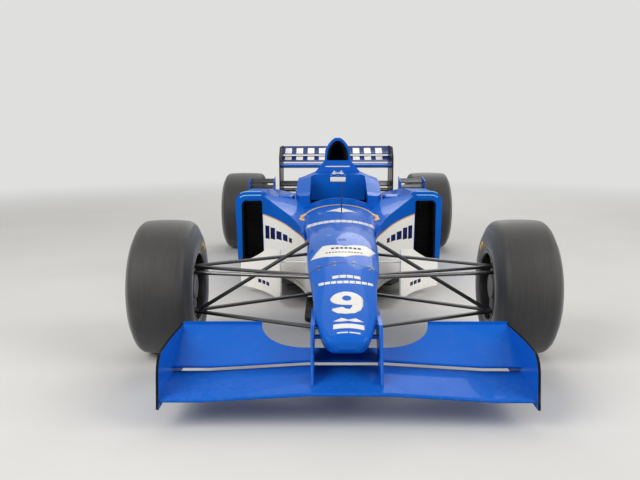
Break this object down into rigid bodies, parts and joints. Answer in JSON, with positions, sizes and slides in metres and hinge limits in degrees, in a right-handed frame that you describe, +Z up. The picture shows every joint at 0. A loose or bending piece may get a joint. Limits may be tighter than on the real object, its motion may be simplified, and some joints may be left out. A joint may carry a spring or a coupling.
{
  "type": "open wheel racing car",
  "caption": "Single-seat open wheel racing car with a raised nose, tall side pods, airbox, front and rear wings, steered front wheels and slick tyres that turn.",
  "frame": {"origin": "on the ground under the middle of the car's length and width", "axes": "+X is the car's left, +Y its rear, +Z up; the car faces -Y"},
  "size_m": [1.9924, 4.4, 0.9877],
  "materials": {
    "body_paint": "glossy blue paint on composite bodywork",
    "white_paint": "glossy white paint on composite bodywork",
    "carbon": "black carbon composite, satin clear coat",
    "plank_wood": "laminated beech skid block, waxed",
    "radiator_core": "dark finned core",
    "cast_metal": "cast light alloy, grey",
    "steel": "ground steel",
    "lens": "red moulded lens",
    "black_plastic": "matt black",
    "tyre_rubber": "smooth slick rubber, lightly scuffed",
    "rim_metal": "painted light alloy",
    "disc_carbon": "matt carbon composite"
  },
  "bodies": {
    "chassis": {"nose_cone": "body_paint", "monocoque": "body_paint", "front_wing_flaps": "body_paint", "front_wing_main": "body_paint", "front_wing_endplates": "body_paint", "sidepods": "body_paint", "engine_cover": "body_paint", "head_surround": "body_paint", "cockpit_coaming": "body_paint", "mirrors": "body_paint", "rear_wing_planes": "body_paint", "bargeboards": "white_paint", "floor": "carbon", "diffuser": "carbon", "lower_rear_wing": "carbon", "rear_wing_endplates": "carbon", "winglets": "carbon", "front_suspension_arms": "carbon", "rear_suspension_arms": "carbon", "dashboard": "carbon", "driver_seat": "carbon", "skid_plank": "plank_wood", "radiators": "radiator_core", "gearbox": "cast_metal", "engine_block": "cast_metal", "rear_uprights": "cast_metal", "driveshafts": "steel", "rain_light": "lens", "antenna": "black_plastic"},
    "front_left_upright": {"front_left_upright": "cast_metal"},
    "front_right_upright": {"front_right_upright": "cast_metal"},
    "front_left_wheel": {"front_left_tyre": "tyre_rubber", "front_left_rim": "rim_metal", "front_left_brake_disc": "disc_carbon"},
    "front_right_wheel": {"front_right_tyre": "tyre_rubber", "front_right_rim": "rim_metal", "front_right_brake_disc": "disc_carbon"},
    "rear_left_wheel": {"rear_left_tyre": "tyre_rubber", "rear_left_rim": "rim_metal", "rear_left_brake_disc": "disc_carbon"},
    "rear_right_wheel": {"rear_right_tyre": "tyre_rubber", "rear_right_rim": "rim_metal", "rear_right_brake_disc": "disc_carbon"},
    "steering_rack": {"steering_rack": "steel"},
    "steering_wheel": {"steering_wheel": "black_plastic"}
  },
  "joints": [
    {"name": "front_left_steer", "type": "hinge", "parent": "chassis", "child": "front_left_upright", "pos_m": [0.742, -1.25, 0.325], "axis": [0, 0, 1], "range_deg": [-16, 16]},
    {"name": "front_right_steer", "type": "hinge", "parent": "chassis", "child": "front_right_upright", "pos_m": [-0.742, -1.25, 0.325], "axis": [0, 0, 1], "range_deg": [-16, 16]},
    {"name": "rack_slide", "type": "slide", "parent": "chassis", "child": "steering_rack", "axis": [1, 0, 0], "range_m": [-0.0252, 0.0252]},
    {"name": "steering_wheel_turn", "type": "hinge", "parent": "chassis", "child": "steering_wheel", "pos_m": [0, 0.22, 0.462], "axis": [0, 0.9511, 0.309], "range_deg": [-192, 192]},
    {"name": "front_left_spin", "type": "hinge", "parent": "front_left_upright", "child": "front_left_wheel", "pos_m": [0.845, -1.25, 0.325], "axis": [1, 0, 0], "continuous": true},
    {"name": "front_right_spin", "type": "hinge", "parent": "front_right_upright", "child": "front_right_wheel", "pos_m": [-0.845, -1.25, 0.325], "axis": [1, 0, 0], "continuous": true},
    {"name": "rear_left_spin", "type": "hinge", "parent": "chassis", "child": "rear_left_wheel", "pos_m": [0.8, 1.7, 0.33], "axis": [1, 0, 0], "continuous": true},
    {"name": "rear_right_spin", "type": "hinge", "parent": "chassis", "child": "rear_right_wheel", "pos_m": [-0.8, 1.7, 0.33], "axis": [1, 0, 0], "continuous": true}
  ],
  "couplings": [
    {"joint": "front_right_steer", "follows": "front_left_steer", "ratio": 1},
    {"joint": "rack_slide", "follows": "front_left_steer", "m_per_rad": 0.09},
    {"joint": "steering_wheel_turn", "follows": "front_left_steer", "ratio": 12}
  ]
}
